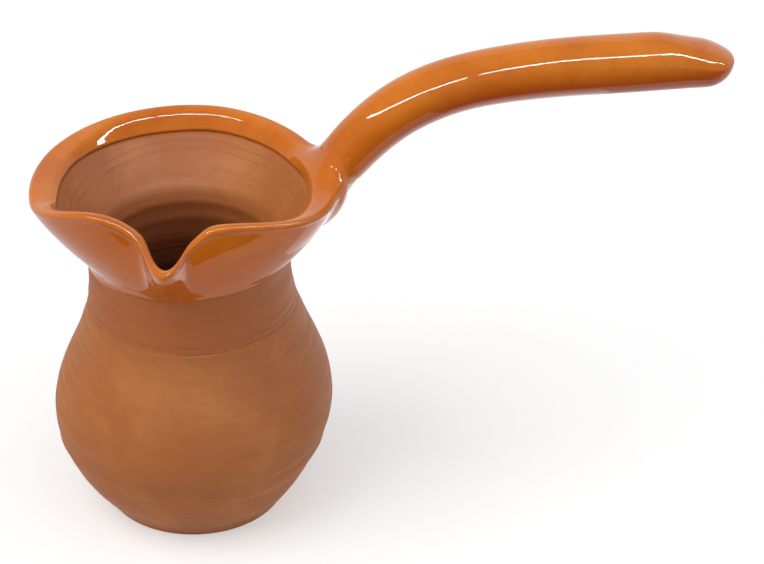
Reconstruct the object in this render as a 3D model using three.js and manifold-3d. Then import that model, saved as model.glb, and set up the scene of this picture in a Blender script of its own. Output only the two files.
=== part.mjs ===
// Clay coffee pot of three small cups: a wheel-thrown pot with a pinched spout and a long
// clay handle, dipped in glaze down to the foot of the collar and left bare below it.
// Millimetres, +Z up. The origin is the middle of the foot, and the handle lies over +X.

import * as THREE from 'three';
import { mergeVertices } from 'three/addons/utils/BufferGeometryUtils.js';
import Module from 'manifold-3d';

const wasm = await Module();
wasm.setup();

// Thrown pot: outside of the body, as radius and height of each turn of the profile
const footRadius = 25.8;
const footEdge = 0.8;
const footFlare = 0.8;
const bellyRadius = 40.6;
const bellyHeight = 32.5;
const shoulderRadius = 30.2;
const shoulderHeight = 66.8;
const shoulderSlope = -0.2;
const waistRadius = 28.9;
const collarStart = 84.4;
const collarBulge = 1.6;
const rimRadius = 44.6;
const rimHeight = 104.4;

// Thrown pot: walls, floor and lip
const wall = 4.3;
const floorThickness = 6;
const floorFillet = 9;
const lipRound = 1.1;
const lipStart = -35;
const sideFlange = 7.8;
const backFlange = 9.4;
const flangeSlope = 0.28;
const rightFlangeSlope = 0.53;

// Spout, pinched out of the lip by a thumb and two fingers
const spoutAngle = -112;
const spoutReach = 43.6;
const spoutDip = 2.2;
const spoutLipWidth = 3.4;
const spoutLipSpread = 45;
const leftCheekAngle = -15.4;
const rightCheekAngle = 10;
const cheekRadius = 34.6;
const leftCrestAngle = -34;
const leftCrestRadius = 39;
const leftCrestSlope = -0.24;
const leftCrestLift = 8.2;
const rightCrestAngle = 22.3;
const rightCrestRadius = 34.4;
const rightCrestLift = 6.3;
const leftPinchEnd = -75;
const rightPinchEnd = 90;

// Rim where the handle is joined: a little flatter and lower than the rest
const joinAngle = -spoutAngle;
const joinSpread = 12;
const joinInset = 2;
const joinDrop = 1.3;
const joinRadius = rimRadius - joinInset;

// Handle, a pulled rod of clay: its middle line from the root, and its height over the rim
const handleRootStand = 3.6;
const handleRootRise = 1.3;
const handleElbowRun = 23.6;
const handleElbowRise = 28.3;
const handleCrownRun = 47.5;
const handleCrownRise = 22.3;
const handleRun = 116.8;
const handleEndRise = 16.2;
const handleRootRadius = 6.6;
const handleEndRadius = 8.55;
const handleSwell = 0.42;
const handleRootLength = 11;
const handleRootInset = 2.4;
const handleRootReach = joinRadius + handleRootStand;
const tipBevelLength = 21.8;
const tipBevelCurve = 1.1;
const tipTop = 2.3;
const tipUnder = 8;
const tipRound = 8.5;
const tipEndShare = 0.32;

// Soft clay pressed into the angle under the handle: an egg, half sunk in the collar
const wadStand = 0.8;
const wadDrop = 7.2;
const wadDepth = 5.8;
const wadWidth = 12.7;
const wadHeight = 9.8;
const wadTilt = 35;

// Glaze: how far it stands over the bare clay, how thick it is, and where it ends
const glazeStand = 0.4;
const glazeThickness = 0.5;
const glazeBelowCollar = 0.4;
const glazeTilt = 1.6;
const glazeLowSide = -84;
const glazeInnerDepth = 3.4;
const glazeInnerEdge = 1;
const gap = 0.3;

const clayColour = 0xb26c40;
const glazeColour = 0xd47019;

const turn = 360;
const clayUnderGlaze = glazeStand - glazeThickness - gap;
const glazeInside = glazeStand - glazeThickness;
const radians = THREE.MathUtils.degToRad;

// A smooth curve through stations of [place, value, slope], cubic between neighbours
function curveThrough(stations) {
  return (place) => {
    const last = stations.length - 2;
    const after = stations.findIndex((station) => station[0] > place);
    const index = after < 0 ? last : Math.max(0, after - 1);
    const [x0, y0, slope0] = stations[index];
    const [x1, y1, slope1] = stations[index + 1];
    const span = x1 - x0;
    const t = Math.min(1, Math.max(0, (place - x0) / span));
    const s = 1 - t;
    return y0 * (1 + 2 * t) * s * s + slope0 * span * t * s * s
      + y1 * (3 - 2 * t) * t * t - slope1 * span * s * t * t;
  };
}

const bodyRadius = curveThrough([
  [0, footRadius, footFlare],
  [bellyHeight, bellyRadius, 0],
  [shoulderHeight, shoulderRadius, shoulderSlope],
  [collarStart, waistRadius, 0],
]);

// Outline of the lip round the pot, by the angle from the spout
const lipRadius = curveThrough([
  [-turn / 2, rimRadius, 0],
  [leftPinchEnd, rimRadius, 0],
  [leftCrestAngle, leftCrestRadius, leftCrestSlope],
  [leftCheekAngle, cheekRadius, 0],
  [0, spoutReach, 0],
  [rightCheekAngle, cheekRadius, 0],
  [rightCrestAngle, rightCrestRadius, 0],
  [joinAngle - joinSpread, joinRadius, 0],
  [joinAngle + joinSpread, joinRadius, 0],
  [turn / 2, rimRadius, 0],
]);

const lipLift = curveThrough([
  [-turn / 2, 0, 0],
  [leftPinchEnd, 0, 0],
  [leftCrestAngle, leftCrestLift, 0],
  [0, -spoutDip, 0],
  [rightCrestAngle, rightCrestLift, 0],
  [rightPinchEnd, -joinDrop, 0],
  [joinAngle + joinSpread, -joinDrop, 0],
  [turn / 2, 0, 0],
]);

// Width of the lip from its outer to its inner edge, thin where it is pinched
const lipWidth = curveThrough([
  [-turn / 2, backFlange, 0],
  [leftPinchEnd, sideFlange, 0],
  [-spoutLipSpread, spoutLipWidth, 0],
  [spoutLipSpread, spoutLipWidth, 0],
  [rightPinchEnd, sideFlange, 0],
  [turn / 2, backFlange, 0],
]);

// Fall of the flange towards the mouth, steeper right of the spout
const flangeFall = curveThrough([
  [-turn / 2, flangeSlope, 0],
  [0, flangeSlope, 0],
  [rightCrestAngle, rightFlangeSlope, 0],
  [spoutLipSpread, rightFlangeSlope, 0],
  [rightPinchEnd, flangeSlope, 0],
  [turn / 2, flangeSlope, 0],
]);

// Height at which the glaze starts, where the pot was dipped a little aslant
function glazeStart(angle) {
  return collarStart - glazeBelowCollar - glazeTilt * Math.cos(radians(angle - glazeLowSide));
}

function lerpSteps(from, to, count) {
  return Array.from({ length: count + 1 }, (_, i) => from + ((to - from) * i) / count);
}

// Middle of the lip's round, by the angle from the spout
function lipCentre(angle) {
  return new THREE.Vector2(lipRadius(angle) - lipRound, rimHeight + lipLift(angle) - lipRound);
}

// Outside radius of the pot at a height, where the collar opens to this angle's lip
function outerRadius(angle, height) {
  if (height <= collarStart) return bodyRadius(height);
  const centre = lipCentre(angle);
  const topRadius = centre.x + lipRound * Math.cos(radians(lipStart));
  const topHeight = centre.y + lipRound * Math.sin(radians(lipStart));
  const share = (height - collarStart) / (topHeight - collarStart);
  const bulge = 4 * collarBulge * share * (1 - share);
  return THREE.MathUtils.lerp(waistRadius, topRadius, share) + bulge;
}

// Radius and height of the lip's inner edge
function lipInnerEdge(angle) {
  const width = lipWidth(angle);
  const height = rimHeight + lipLift(angle) - width * flangeFall(angle);
  return new THREE.Vector2(lipRadius(angle) - width, height);
}

// Inside radius: the wall runs up even, then thickens into the flange of the lip
function innerRadius(angle, height) {
  if (height <= collarStart) return bodyRadius(height) - wall;
  const edge = lipInnerEdge(angle);
  const edgeWall = outerRadius(angle, edge.y) - edge.x;
  const share = (height - collarStart) / (edge.y - collarStart);
  return outerRadius(angle, height) - wall - (edgeWall - wall) * share * share;
}

// Outside of the pot from the middle of the foot up to the start of the glaze
function bareOutside(angle) {
  const heights = lerpSteps(footEdge, glazeStart(angle), 13);
  return [
    new THREE.Vector2(0, 0),
    new THREE.Vector2(bodyRadius(footEdge) - footEdge, 0),
    ...heights.map((height) => new THREE.Vector2(outerRadius(angle, height), height)),
  ];
}

// Outer half of the glazed stretch: up the collar and over the lip's round to its crest
function glazedOutside(angle) {
  const centre = lipCentre(angle);
  const collarTop = centre.y + lipRound * Math.sin(radians(lipStart));
  const start = glazeStart(angle);
  const collar = [start, ...lerpSteps(start + gap, collarTop, 5)]
    .map((height) => new THREE.Vector2(outerRadius(angle, height), height));
  const round = lerpSteps(lipStart, 90, 4).slice(1).map((a) => new THREE.Vector2(
    centre.x + lipRound * Math.cos(radians(a)),
    centre.y + lipRound * Math.sin(radians(a)),
  ));
  return [...collar, ...round];
}

// Inner half of the glazed stretch: down over the flange and a little way inside
function glazedInside(angle, crest) {
  const edge = lipInnerEdge(angle);
  const flange = lerpSteps(0, 90, 4).slice(1).map((a) => new THREE.Vector2(
    crest.x - (crest.x - edge.x) * Math.sin(radians(a)),
    crest.y - (crest.y - edge.y) * (1 - Math.cos(radians(a))),
  ));
  const innerEnd = Math.min(rimHeight - glazeInnerDepth, edge.y - glazeInnerEdge);
  const inside = [...lerpSteps(edge.y, innerEnd + gap, 2).slice(1), innerEnd]
    .map((height) => new THREE.Vector2(innerRadius(angle, height), height));
  return [...flange, ...inside];
}

// Glazed stretch. Its first and last points are the ends of the step in the clay, a gap
// away from the ends of the coat.
function glazedStretch(angle) {
  const outside = glazedOutside(angle);
  return [...outside, ...glazedInside(angle, outside[outside.length - 1])];
}

// Inside of the pot from the end of the glaze down to the middle of the floor
function bareInside(angle, top) {
  const filletTop = floorThickness + floorFillet;
  const funnel = lerpSteps(top, collarStart, 4)
    .map((height) => new THREE.Vector2(innerRadius(angle, height), height));
  const belly = lerpSteps(collarStart, filletTop, 8).slice(1)
    .map((height) => new THREE.Vector2(innerRadius(angle, height), height));
  const floorRadius = innerRadius(angle, filletTop) - floorFillet;
  const fillet = lerpSteps(0, 90, 4).slice(1).map((a) => new THREE.Vector2(
    floorRadius + floorFillet * Math.cos(radians(a)),
    filletTop - floorFillet * Math.sin(radians(a)),
  ));
  return [...funnel, ...belly, ...fillet, new THREE.Vector2(0, floorThickness)];
}

// Moves each point of an outline square to it; the outline runs with its solid on the left
function offsetOutline(points, distance) {
  return points.map((point, i) => {
    const before = points[Math.max(0, i - 1)];
    const after = points[Math.min(points.length - 1, i + 1)];
    const along = after.clone().sub(before).normalize();
    return new THREE.Vector2(point.x + along.y * distance, point.y - along.x * distance);
  });
}

// Whole section of the clay pot, sunk under the glaze by as much as the coat needs
function potSection(angle) {
  const outside = bareOutside(angle);
  const glazed = glazedStretch(angle);
  const inside = bareInside(angle, glazed[glazed.length - 1].y);
  return [...outside, ...offsetOutline(glazed, clayUnderGlaze), ...inside];
}

// Section of the coat on collar and lip, between two distances from the clay's face
function coatSection(angle, innerFace, outerFace) {
  const glazed = glazedStretch(angle);
  const outer = offsetOutline(glazed, outerFace).slice(1, -1);
  const inner = offsetOutline(glazed, innerFace).slice(1, -1);
  return [...outer, ...inner.reverse()];
}

// Section of a pot filled to the crest of its lip: a gap out from its bare clay, and a
// distance out from its glazed clay
function filledPotSection(angle, grow) {
  const outside = glazedOutside(angle);
  const bare = offsetOutline(bareOutside(angle), gap).slice(1);
  const glazed = offsetOutline(glazedStretch(angle), grow).slice(0, outside.length);
  const crest = glazed[glazed.length - 1].y;
  return [new THREE.Vector2(0, bare[0].y), ...bare, ...glazed, new THREE.Vector2(0, crest)];
}

// Angles round the pot, closer together where the lip is pinched
function anglesRoundPot() {
  const fine = lerpSteps(leftCrestAngle, -leftCrestAngle, 20);
  const coarse = lerpSteps(-leftCrestAngle, turn + leftCrestAngle, 38);
  return [...fine, ...coarse.slice(1, -1).map((a) => (a > turn / 2 ? a - turn : a))];
}

function meshGeometry(vertices, faces) {
  const geometry = new THREE.BufferGeometry();
  geometry.setAttribute('position', new THREE.Float32BufferAttribute(vertices.flat(), 3));
  geometry.setIndex(faces.flat());
  return geometry;
}

// Carries a section that changes with the angle once round the axis of the pot
function turnedGeometry(sectionAt) {
  const angles = anglesRoundPot();
  const rings = angles.map((angle) => sectionAt(angle));
  const count = rings[0].length;
  const vertices = rings.flatMap((ring, j) => {
    const azimuth = radians(spoutAngle + angles[j]);
    return ring.map((p) => [p.x * Math.cos(azimuth), p.x * Math.sin(azimuth), p.y]);
  });
  const faces = [];
  for (let j = 0; j < rings.length; j += 1) {
    const next = (j + 1) % rings.length;
    for (let i = 0; i < count; i += 1) {
      const up = (i + 1) % count;
      const a = j * count + i;
      const b = next * count + i;
      const c = next * count + up;
      const d = j * count + up;
      faces.push([a, b, c], [a, c, d]);
    }
  }
  return meshGeometry(vertices, faces);
}

// A point over +X, at a run from the root of the handle and a rise over the rim
function handleStation(run, rise) {
  return new THREE.Vector3(handleRootReach + run, 0, rimHeight + rise);
}

// Middle line of the handle, in the upright plane of +X
const handlePath = new THREE.CubicBezierCurve3(
  handleStation(0, handleRootRise),
  handleStation(handleElbowRun, handleElbowRise),
  handleStation(handleCrownRun, handleCrownRise),
  handleStation(handleRun, handleEndRise),
);

// One ring of the handle: round, but bevelled above and below over the last stretch, and
// domed at the tip
function handleRing(share, sides, grow) {
  const centre = handlePath.getPointAt(share);
  const along = handlePath.getTangentAt(share);
  const upward = new THREE.Vector3(-along.z, 0, along.x);
  const fromEnd = handlePath.getLength() * (1 - share);
  const radius = THREE.MathUtils.lerp(handleRootRadius, handleEndRadius, share ** handleSwell);
  const bevel = Math.max(0, 1 - fromEnd / tipBevelLength) ** tipBevelCurve;
  const into = Math.max(0, 1 - fromEnd / tipRound);
  const dome = Math.sqrt(1 - (1 - tipEndShare ** 2) * into ** 2);
  const top = THREE.MathUtils.lerp(radius, tipTop, bevel);
  const under = THREE.MathUtils.lerp(radius, tipUnder, bevel);
  return Array.from({ length: sides }, (_, i) => {
    const a = (i * 2 * Math.PI) / sides;
    const half = Math.sin(a) > 0 ? top : under;
    const point = centre.clone();
    point.addScaledVector(upward, (half * dome + grow) * Math.sin(a));
    point.y += (radius * dome + grow) * Math.cos(a);
    return point;
  });
}

// Carries a point of the first ring back into the collar, but not in over the lip's crest
function rootPoint(point, grow) {
  const along = handlePath.getTangentAt(0);
  const stop = joinRadius - lipRound - handleRootInset - grow;
  const back = Math.min(handleRootLength + grow, (point.x - stop) / along.x);
  return point.clone().addScaledVector(along, -back);
}

// Handle rod from inside the pot's wall to its tip, its face moved out by a distance
function handleGeometry(grow) {
  const sides = 24;
  const shares = [...lerpSteps(0, 0.84, 17), ...lerpSteps(0.86, 0.975, 4), 0.983, 0.992, 1];
  const rings = shares.map((share) => handleRing(share, sides, grow));
  rings.unshift(rings[0].map((point) => rootPoint(point, grow)));
  const end = handlePath.getTangentAt(1).multiplyScalar(grow);
  rings[rings.length - 1].forEach((point) => point.add(end));
  const vertices = rings.flat().map((point) => point.toArray());
  const faces = [];
  for (let j = 0; j < rings.length - 1; j += 1) {
    for (let i = 0; i < sides; i += 1) {
      const next = (i + 1) % sides;
      const a = j * sides + i;
      const b = j * sides + next;
      const c = (j + 1) * sides + next;
      const d = (j + 1) * sides + i;
      faces.push([a, b, c], [a, c, d]);
    }
  }
  const middles = [rings[0], rings[rings.length - 1]].map((ring) => ring
    .reduce((sum, point) => sum.add(point), new THREE.Vector3()).divideScalar(sides).toArray());
  const first = vertices.length;
  vertices.push(...middles);
  for (let i = 0; i < sides; i += 1) {
    const next = (i + 1) % sides;
    const ring = (rings.length - 1) * sides;
    faces.push([first, next, i], [first + 1, ring + i, ring + next]);
  }
  return meshGeometry(vertices, faces);
}

// Lump of soft clay under the root of the handle, its face moved out by a distance
function wadGeometry(grow) {
  const geometry = new THREE.SphereGeometry(1, 24, 14);
  geometry.rotateX(Math.PI / 2);
  geometry.scale(wadDepth + grow, wadWidth + grow, wadHeight + grow);
  geometry.rotateY(radians(wadTilt));
  const height = rimHeight - wadDrop;
  const lowFace = outerRadius(joinAngle, height - wadHeight);
  const highFace = outerRadius(joinAngle, height + wadHeight);
  geometry.translate((lowFace + highFace) / 2 + wadStand, 0, height);
  return geometry;
}

function solidOf(geometry) {
  const bare = geometry.clone();
  bare.deleteAttribute('normal');
  bare.deleteAttribute('uv');
  const merged = mergeVertices(bare);
  return new wasm.Manifold(new wasm.Mesh({
    numProp: 3,
    vertProperties: new Float32Array(merged.attributes.position.array),
    triVerts: new Uint32Array(merged.index.array),
  }));
}

function geometryOf(solid) {
  const mesh = solid.getMesh();
  const geometry = new THREE.BufferGeometry();
  geometry.setAttribute('position', new THREE.BufferAttribute(mesh.vertProperties, 3));
  geometry.setIndex(new THREE.BufferAttribute(mesh.triVerts, 1));
  return geometry;
}

const handleSolid = (grow) => solidOf(handleGeometry(grow));
const wadSolid = (grow) => solidOf(wadGeometry(grow));
const filledPot = (grow) => solidOf(turnedGeometry((a) => filledPotSection(a, grow)));

// Handle, cut to sit against the collar
function makeHandle() {
  return handleSolid(clayUnderGlaze).subtract(filledPot(clayUnderGlaze + gap));
}

// Wad, cut to sit against the collar and under the handle
function makeWad() {
  return wadSolid(clayUnderGlaze)
    .subtract(filledPot(clayUnderGlaze + gap))
    .subtract(handleSolid(clayUnderGlaze + gap));
}

// Coat on collar and lip, open where the handle and the wad pass through it
function makeRimGlaze() {
  return solidOf(turnedGeometry((a) => coatSection(a, glazeInside, glazeStand)))
    .subtract(handleSolid(glazeInside))
    .subtract(wadSolid(glazeInside));
}

// Coat on handle and wad, down to the coat on the collar
function makeHandleGlaze() {
  return handleSolid(glazeStand).add(wadSolid(glazeStand))
    .subtract(handleSolid(glazeInside))
    .subtract(wadSolid(glazeInside))
    .subtract(filledPot(glazeStand + gap));
}

function clayMaterial() {
  return new THREE.MeshStandardMaterial({ color: clayColour, roughness: 0.85, metalness: 0 });
}

function glazeMaterial() {
  return new THREE.MeshStandardMaterial({ color: glazeColour, roughness: 0.12, metalness: 0 });
}

function named(name, geometry, material) {
  const mesh = new THREE.Mesh(geometry, material);
  mesh.name = name;
  return mesh;
}

const pot = new THREE.Group();
pot.add(named('thrown_pot', geometryOf(solidOf(turnedGeometry(potSection))), clayMaterial()));
pot.add(named('handle', geometryOf(makeHandle()), clayMaterial()));
pot.add(named('luting_wad', geometryOf(makeWad()), clayMaterial()));
pot.add(named('rim_glaze', geometryOf(makeRimGlaze()), glazeMaterial()));
pot.add(named('handle_glaze', geometryOf(makeHandleGlaze()), glazeMaterial()));

export default pot;
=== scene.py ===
import math

import bpy
import numpy as np
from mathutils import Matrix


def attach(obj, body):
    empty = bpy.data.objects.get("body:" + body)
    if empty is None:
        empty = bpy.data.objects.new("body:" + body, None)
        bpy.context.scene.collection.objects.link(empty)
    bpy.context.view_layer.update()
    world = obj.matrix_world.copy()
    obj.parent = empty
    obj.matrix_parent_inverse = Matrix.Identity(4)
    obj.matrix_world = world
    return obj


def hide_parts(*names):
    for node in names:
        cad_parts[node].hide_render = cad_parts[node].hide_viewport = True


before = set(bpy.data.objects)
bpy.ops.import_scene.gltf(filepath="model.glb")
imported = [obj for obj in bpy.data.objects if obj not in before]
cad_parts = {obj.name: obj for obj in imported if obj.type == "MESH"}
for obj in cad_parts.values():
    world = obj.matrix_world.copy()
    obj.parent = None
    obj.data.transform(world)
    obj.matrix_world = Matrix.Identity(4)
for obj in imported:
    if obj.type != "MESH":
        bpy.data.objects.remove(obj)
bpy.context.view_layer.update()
mm = 0.001  # sizes below are millimetres, and meshes are written in metres

potSizes = {
    "spoutAngle": -112,  # azimuth of the spout; the handle lies over +X
    "foot": 25.8, "footEdge": 0.9, "footFlare": 0.8, "footHollow": 0.35,
    "belly": 40.6, "bellyHeight": 32.5,
    "shoulder": 30.2, "shoulderHeight": 66.8, "shoulderSlope": -0.2,
    "waist": 28.9, "collarStart": 84.4, "crease": 1.1, "bulge": 1.6,
    "rim": 44.48, "rimHeight": 104.4,
    "wall": 4.3, "floor": 6, "fillet": 9, "innerCrease": 86.6, "innerSoft": 2.2,
    "lipRound": 1.1, "lipStart": -35,
    "clayUnderGlaze": -0.38,
    "leanTurn": -16,  # azimuth of the lean; its rows are height, lean and slope
    "lean": ((0, 0, 0), (14, -0.6, 0), (52, 1.0, 0), (84, 0, 0), (120, 0, 0)),
    "floorRipple": 0.35, "floorRings": 5.5,
    "columns": 330, "baseRows": 13, "footRows": 6, "outsideRows": 128,
    "glazedRows": (12, 6, 6, 4), "crowd": 1.25,
    "insideRows": 90, "filletRows": 8, "floorRows": 15,
}
spoutSizes = {  # a cheek is an angle from the spout and a radius, and a crest has a rise too
    "reach": 43.7, "dip": 2.3, "leftCheek": (-15.4, 34.4), "rightCheek": (10, 34.4),
    "leftCrest": (-34, 39, 8.3), "leftCrestSlope": -0.24, "rightCrest": (22.3, 34.4, 6.4),
    "lip": 3.4, "lipSpread": 45, "leftEnd": -75, "rightEnd": 90, "soften": 1.3,
}
joinSizes = {"radius": 42.6, "drop": 1.3, "spread": 12, "reach": 38}  # the last two in degrees


# Smooth curve through rows of place, value and slope: in each span the value is the cubic
# whose ends have those values and slopes
def curveThrough(stations):
    places, values, slopes = np.array(stations, float).T

    def curve(place):
        place = np.asarray(place, float)
        i = np.clip(np.searchsorted(places, place, side="right") - 1, 0, len(places) - 2)
        span = places[i + 1] - places[i]
        t = np.clip((place - places[i]) / span, 0, 1)
        s = 1 - t
        start = values[i] * (1 + 2 * t) * s * s + slopes[i] * span * t * s * s
        end = values[i + 1] * (3 - 2 * t) * t * t - slopes[i + 1] * span * s * t * t
        return start + end

    return curve


# A curve round the pot by the angle from the spout: the curve through the stations, each
# value averaged with its neighbours by a bell of the given spread in degrees
def roundPot(stations, spread):
    step = 0.25
    fine = np.arange(-180, 180, step)
    values = curveThrough(stations)(fine)
    reach = np.arange(-4 * spread, 4 * spread + step, step)
    bell = np.exp(-0.5 * (reach / spread) ** 2)
    smooth = np.convolve(np.tile(values, 3), bell / bell.sum(), mode="same")
    smooth = smooth[len(fine):2 * len(fine)]
    return lambda angle: np.interp(angle, fine, smooth, period=360)


# 0 below zero and x above it, with the corner rounded: half of x plus the root of x squared
# and width squared
def softRamp(x, width):
    return 0.5 * (x + np.sqrt(x * x + width * width))


# 0 up to low and 1 from high, and between them three squares less two cubes of the share
def smoothStep(x, low, high):
    t = np.clip((x - low) / (high - low), 0, 1)
    return t * t * (3 - 2 * t)


# Lesser of two distances, rounded where they are within k of each other
def softMin(a, b, k):
    h = np.maximum(k - np.abs(a - b), 0) / k
    return np.minimum(a, b) - h * h * k / 4


pot, spout, join = potSizes, spoutSizes, joinSizes
joinAngle = -pot["spoutAngle"]
bodyRadius = curveThrough([
    (0, pot["foot"], pot["footFlare"]),
    (pot["bellyHeight"], pot["belly"], 0),
    (pot["shoulderHeight"], pot["shoulder"], pot["shoulderSlope"]),
    (pot["collarStart"], pot["waist"], 0),
])
leftCrest, rightCrest = spout["leftCrest"], spout["rightCrest"]
lipRadius = roundPot([
    (-180, pot["rim"], 0), (spout["leftEnd"], pot["rim"], 0),
    (leftCrest[0], leftCrest[1], spout["leftCrestSlope"]), (*spout["leftCheek"], 0),
    (0, spout["reach"], 0), (*spout["rightCheek"], 0), (rightCrest[0], rightCrest[1], 0),
    (joinAngle - join["spread"], join["radius"], 0),
    (joinAngle + join["spread"], join["radius"], 0), (180, pot["rim"], 0),
], spout["soften"])
lipLift = roundPot([
    (-180, 0, 0), (spout["leftEnd"], 0, 0), (leftCrest[0], leftCrest[2], 0),
    (0, -spout["dip"], 0), (rightCrest[0], rightCrest[2], 0),
    (spout["rightEnd"], -join["drop"], 0), (joinAngle + join["spread"], -join["drop"], 0),
    (180, 0, 0),
], spout["soften"])
# the lip from its outer to its inner edge, in rows of angle from the spout, value and slope
lipSizes = {
    "width": [
        (-180, 6.0, 0), (-147, 6.3, 0.03), (-126, 7.4, 0.04), (-100, 7.8, 0), (-84, 7.7, 0),
        (-spout["lipSpread"], spout["lip"], 0), (spout["lipSpread"], spout["lip"], 0),
        (spout["rightEnd"], 7.8, 0), (112, 7.9, 0), (151, 6.8, 0), (180, 6.0, 0),
    ],
    "fall": [
        (-180, 5, 0), (-147, 4.7, -0.03), (-126, 3.4, -0.05), (-100, 2.4, 0), (-84, 2.2, 0),
        (-spout["lipSpread"], 0.95, 0), (0, 0.95, 0), (rightCrest[0], 1.8, 0),
        (spout["lipSpread"], 1.8, 0), (spout["rightEnd"], 2.4, 0.01), (112, 2.8, 0.02),
        (151, 4.2, 0.02), (180, 5, 0),
    ],
    "level": [  # share of the width that stays nearly level before it bends down
        (-180, 0.4, 0), (-140, 0.44, 0), (-120, 0.74, 0), (-84, 0.8, 0), (-45, 0.4, 0),
        (45, 0.3, 0), (90, 0.75, 0), (112, 0.7, 0), (151, 0.54, 0), (180, 0.4, 0),
    ],
    "soften": 3, "softenLevel": 2,
    "levelFall": 0.08, "bend": 0.3, "bendByWidth": 0.1,
}
lipWidth = roundPot(lipSizes["width"], lipSizes["soften"])
lipFall = roundPot(lipSizes["fall"], lipSizes["soften"])
lipLevel = roundPot(lipSizes["level"], lipSizes["softenLevel"])

claySlot, glazeSlot = "raw_clay", "honey_glaze"
glazeSizes = {
    "foot": [  # lower edge, where the collar was dipped by hand: angle, height and slope
        (-180, 83.6, 0), (-120, 82.7, 0), (-66, 81.9, 0), (-49, 82.1, 0.02), (-21, 83.7, 0.03),
        (-5, 83.6, 0), (20, 84.5, 0.01), (40, 84.7, 0), (76, 83.7, 0), (110, 84.3, 0),
        (150, 84.5, 0), (180, 83.6, 0),
    ],
    "soften": 2.5,
    "inside": 0.25, "insideWaves": ((0.08, 5, 0.7), (0.05, 11, 0)),  # depth, waves round, start
    "stand": 0.4, "edgeSink": 0.14, "edgeRound": 0.7,
    "bead": 0.04, "beadAt": 0.98, "beadHalf": 0.7,
    "ripple": 0.035, "rippleFrom": 0.5, "rippleFull": 3,
    "liftFrom": 0.2, "liftFull": 3, "liftMost": 9, "backDepth": 0.27, "handleBackDepth": 0.5,
    "columns": 640, "rows": (46, 16, 20, 9), "crowd": 1.6, "backRows": 24,
}
glazeFoot = roundPot(glazeSizes["foot"], glazeSizes["soften"])


# Middle of the lip's round, as radius and height
def lipCentre(angle):
    return lipRadius(angle) - pot["lipRound"], pot["rimHeight"] + lipLift(angle) - pot["lipRound"]


# Radius and height of the inner edge of the lip
def lipInnerEdge(angle):
    return lipRadius(angle) - lipWidth(angle), pot["rimHeight"] + lipLift(angle) - lipFall(angle)


# Marks of the potter's fingers and ribs: height, relief, half width and how far it wanders
outsideMarks = [
    (66.3, -0.34, 0.55, 0.5), (68.6, -0.2, 0.5, 0.6), (70.4, 0.12, 1.0, 0.4),
    (78.5, 0.1, 1.6, 0.5), (60.5, 0.12, 2.2, 0.6), (53, -0.1, 1.8, 0.8), (44.5, 0.1, 2.4, 0.8),
    (36.5, -0.08, 1.6, 0.7), (24.6, -0.42, 1.3, 1.4), (21.6, 0.4, 1.0, 1.4),
    (16, -0.16, 1.3, 0.8), (9.5, 0.14, 1.4, 0.5), (4.4, -0.12, 0.8, 0.3),
]
insideMarks = [
    (88.2, 0.12, 1.0, 0.6), (85.6, -0.12, 1.2, 0.5), (83.2, 0.34, 0.7, 0.4),
    (80.6, -0.16, 1.2, 0.5), (78.2, 0.2, 0.8, 0.5), (75, -0.15, 1.2, 0.4), (71, 0.2, 1.3, 0.6),
    (66, -0.2, 1.4, 0.5), (61, 0.25, 1.5, 0.6), (55, -0.2, 1.6, 0.6), (48, 0.3, 1.6, 0.6),
    (41, -0.25, 1.6, 0.6), (34, 0.3, 1.6, 0.6), (27, -0.3, 1.6, 0.5),
]


# Sum of the marks: each is a bell across the height, which sways and fades round the pot by
# cosines of the angle
def markRelief(marks, angle, height):
    relief = 0
    turn = np.radians(angle)
    for k, (place, depth, half, wander) in enumerate(marks):
        sway = 0.7 * np.cos(turn - 1.9 * k) + 0.2 * np.cos(3 * turn + k)
        middle = place + wander * sway
        fade = 0.75 + 0.25 * np.cos(2 * turn + 2.3 * k)
        relief = relief + depth * fade * np.exp(-(((height - middle) / half) ** 2))
    return relief


# Outside radius at an angle and height: the body's curve, and above the waist a collar that
# opens in a straight line to the lip with a small parabola of bulge
def outerRadius(angle, height):
    centreRadius, centreHeight = lipCentre(angle)
    start = math.radians(pot["lipStart"])
    topRadius = centreRadius + pot["lipRound"] * math.cos(start)
    topHeight = centreHeight + pot["lipRound"] * math.sin(start)
    low = pot["collarStart"]
    share = softRamp(height - low, pot["crease"]) / (topHeight - low)
    bulge = 4 * pot["bulge"] * share * (1 - share)
    return bodyRadius(height) + (topRadius - pot["waist"]) * share + bulge


# Inside radius: the body less its wall, and above the inner crease a funnel out to the
# inner edge of the lip
def innerRadius(angle, height):
    edgeRadius, edgeHeight = lipInnerEdge(angle)
    low = pot["innerCrease"]
    share = softRamp(height - low, pot["innerSoft"]) / (edgeHeight - low)
    neck = bodyRadius(height) - pot["wall"]
    return neck + (edgeRadius - pot["waist"] + pot["wall"]) * share


# Sideways lean of the pot at a height, as the wheel left it
leanTurn = math.radians(pot["leanTurn"])
leanAlong = np.array([math.cos(leanTurn), math.sin(leanTurn)])
leanAt = curveThrough(pot["lean"])


# Points in space for arrays of angle, radius and height
def aroundPot(angle, radius, height):
    turn = np.radians(pot["spoutAngle"] + angle)
    lean = leanAt(height)
    x = radius * np.cos(turn) + lean * leanAlong[0]
    y = radius * np.sin(turn) + lean * leanAlong[1]
    return np.stack([x, y, height + 0 * angle], -1)


# Moves a section outline square to itself; sections run along the first axis
def offsetSection(radius, height, distance):
    alongR = np.gradient(radius, axis=0)
    alongZ = np.gradient(height, axis=0)
    length = np.hypot(alongR, alongZ)
    normalR, normalZ = alongZ / length, -alongR / length
    return radius + normalR * distance, height + normalZ * distance, normalR, normalZ


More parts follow.
